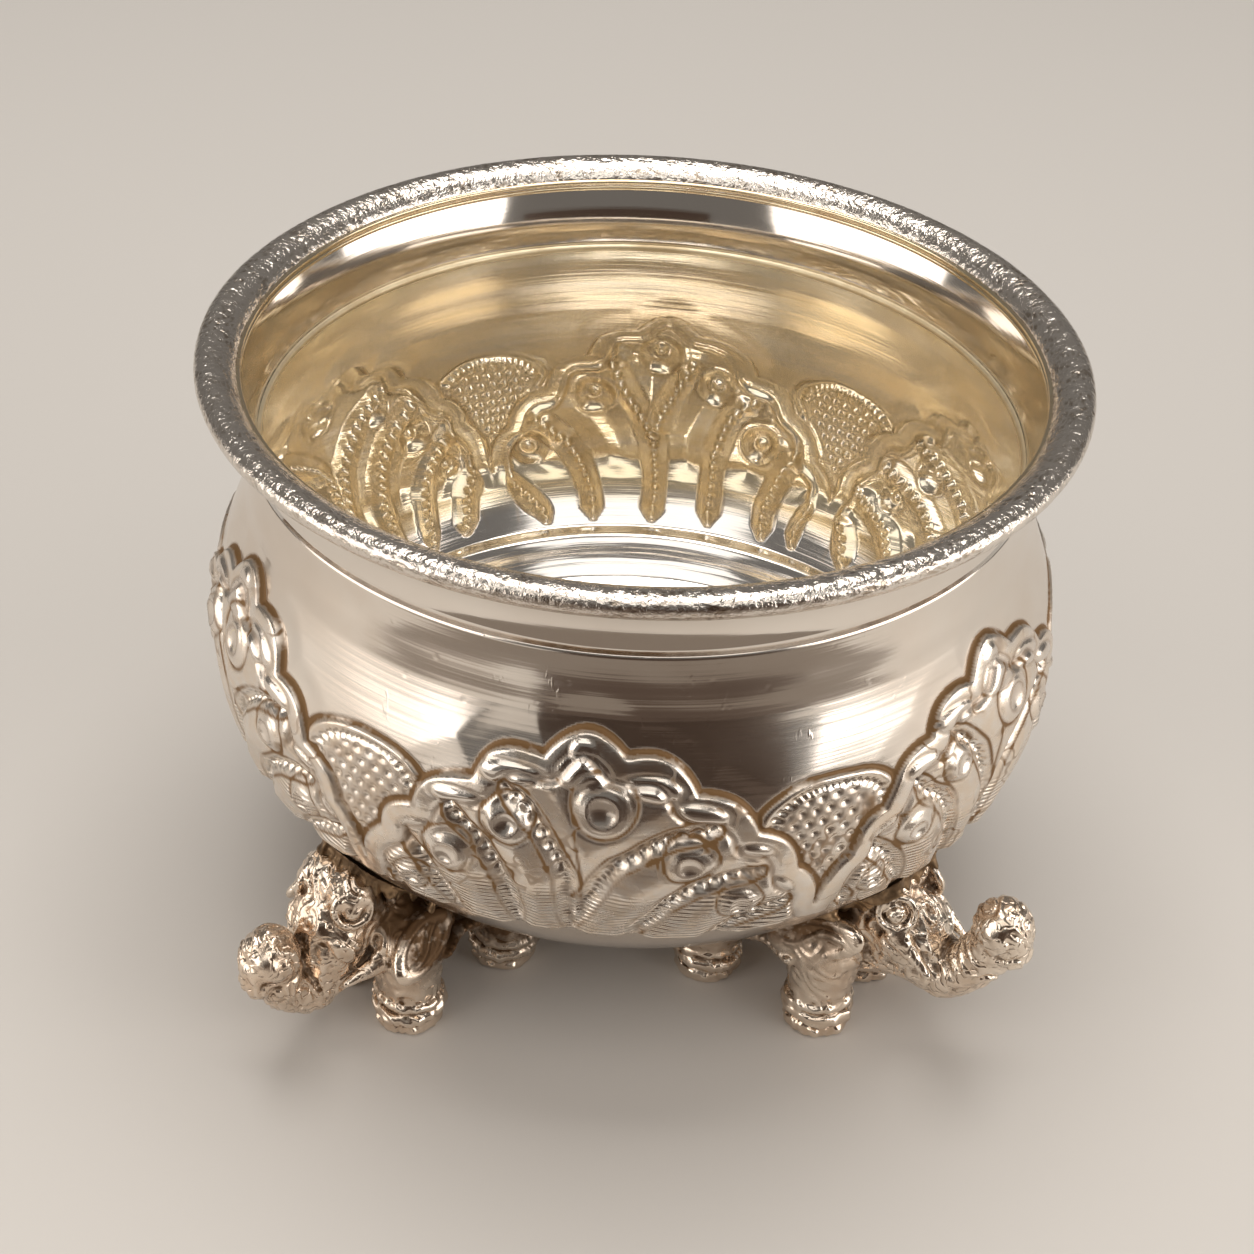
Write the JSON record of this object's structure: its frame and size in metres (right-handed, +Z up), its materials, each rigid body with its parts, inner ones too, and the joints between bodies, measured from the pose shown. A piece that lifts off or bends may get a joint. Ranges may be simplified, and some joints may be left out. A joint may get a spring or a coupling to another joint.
{
  "type": "kumkum bowl on elephant feet",
  "caption": "Small round metal ritual bowl for vermilion powder: repousse belly, concave neck, rolled lip, carried by cast elephants with raised trunks as feet.",
  "frame": {"origin": "on the table under the bowl's axis", "axes": "+Z up along the bowl's axis, -Y towards the viewer of the picture, +X to the right"},
  "size_m": [0.0604, 0.0608, 0.0445],
  "materials": {
    "silver_belly": "polished silver with a warm tarnish, gilt inside",
    "silver_rim": "polished silver, lip finely hammered",
    "silver_wire": "drawn silver wire",
    "gold_wire": "polished gilt wire",
    "elephant_metal": "cast, chased and tarnished, warm rose tint",
    "solder": "dull, brown with tarnish"
  },
  "bodies": {
    "root": {"bowl_body": "silver_belly", "rim_collar": "silver_rim", "lip_wire": "silver_wire", "gold_wire_lower": "gold_wire", "gold_wire_upper": "gold_wire", "seam_solder": "solder", "elephant_front_left": "elephant_metal", "elephant_front_right": "elephant_metal", "elephant_back_right": "elephant_metal", "elephant_back_left": "elephant_metal", "solder_front_left": "solder", "solder_front_right": "solder", "solder_back_right": "solder", "solder_back_left": "solder"}
  },
  "joints": []
}
